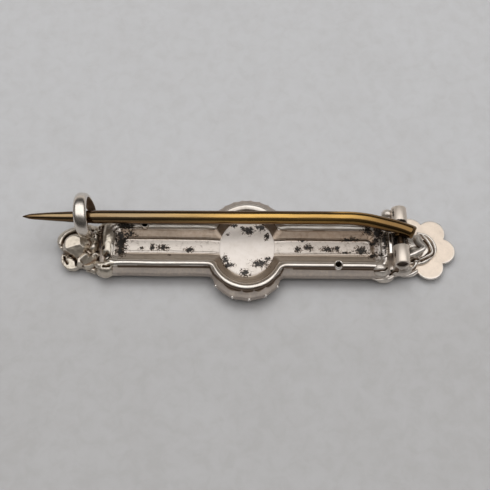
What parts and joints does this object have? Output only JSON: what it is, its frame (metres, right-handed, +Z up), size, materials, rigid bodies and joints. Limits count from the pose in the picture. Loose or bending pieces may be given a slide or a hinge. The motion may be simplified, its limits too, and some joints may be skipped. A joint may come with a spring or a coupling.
{
  "type": "horseshoe brooch",
  "caption": "Silver bar brooch with a scalloped oval medallion, a bud and a flat flower at its ends, and a hinged brass pin that closes into a hook catch.",
  "frame": {"origin": "below the middle of the whole brooch, on the surface that it lies on", "axes": "+X along the bar from the pin's point to the flower, +Y across the bar towards the pin, +Z up, out of the brooch's back"},
  "size_m": [0.048, 0.0126, 0.0065],
  "materials": {
    "silver": "polished, with frosted and black tarnished patches in the recess",
    "rivet_brass": "dull",
    "pin_brass": "drawn wire, satin"
  },
  "bodies": {
    "body": {"brooch_body": "silver", "hinge_rivet": "rivet_brass"},
    "pin": {"pin": "pin_brass"}
  },
  "joints": [
    {"name": "pin_swing", "type": "hinge", "parent": "body", "child": "pin", "pos_m": [0.01748, 0.00137, 0.0034], "axis": [0, 1, 0], "range_deg": [0, 95]}
  ]
}
